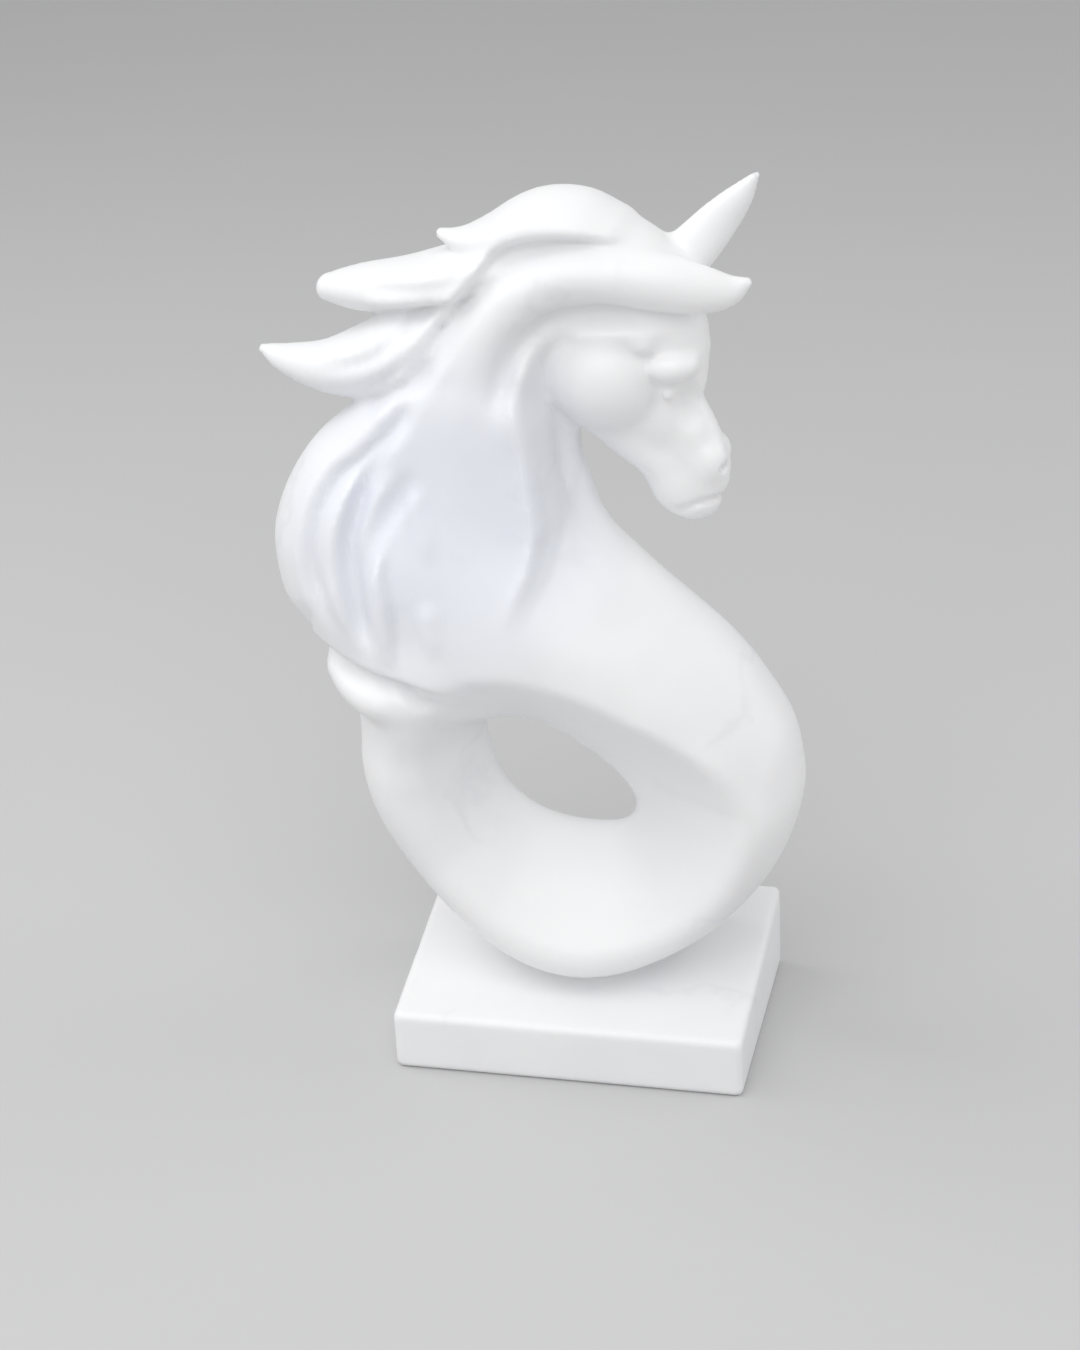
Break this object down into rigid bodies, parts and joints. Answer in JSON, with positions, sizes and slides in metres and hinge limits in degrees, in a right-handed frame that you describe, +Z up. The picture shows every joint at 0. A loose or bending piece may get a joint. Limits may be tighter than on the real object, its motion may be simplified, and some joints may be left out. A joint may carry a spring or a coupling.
{
  "type": "horse head and ring sculpture",
  "caption": "Stylised horse head and neck rising from an open ring, carved in white stone with its rectangular plinth.",
  "frame": {"origin": "centre of the plinth's underside", "axes": "+Z up; +X the way the horse faces; +Y through the opening of the ring, to the horse's left"},
  "size_m": [0.2347, 0.1186, 0.3998],
  "materials": {
    "stone": "polished white marble"
  },
  "bodies": {
    "root": {"horse_sculpture": "stone"}
  },
  "joints": []
}
